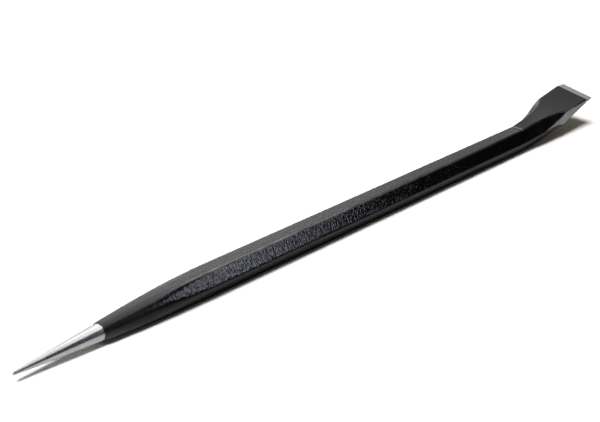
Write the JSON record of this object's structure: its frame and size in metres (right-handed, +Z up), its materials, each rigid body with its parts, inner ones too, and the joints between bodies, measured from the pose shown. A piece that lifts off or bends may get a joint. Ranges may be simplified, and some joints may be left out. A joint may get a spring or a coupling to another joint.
{
  "type": "line-up pry bar",
  "caption": "Hexagon steel pry bar with a long bare round point at one end and a raised, flared chisel blade at the other, black textured coat between",
  "frame": {"origin": "under the middle of the bar, on the surface that the coated shank lies on", "axes": "X runs along the bar from the point to the cutting edge; Z is up, out of the shank's top flat; Y completes the frame across the bar"},
  "size_m": [0.6096, 0.0327, 0.0346],
  "materials": {
    "ground_steel": "bare ground steel: fine rings round the point, fine lines across the bevel and along the blade's sides",
    "black_wrinkle_coat": "black baked coat with a fine leather-like wrinkle, semi-matt, worn smoother along the hexagon's corners"
  },
  "bodies": {
    "root": {"forged_steel_bar": "ground_steel", "black_coat": "black_wrinkle_coat"}
  },
  "joints": []
}
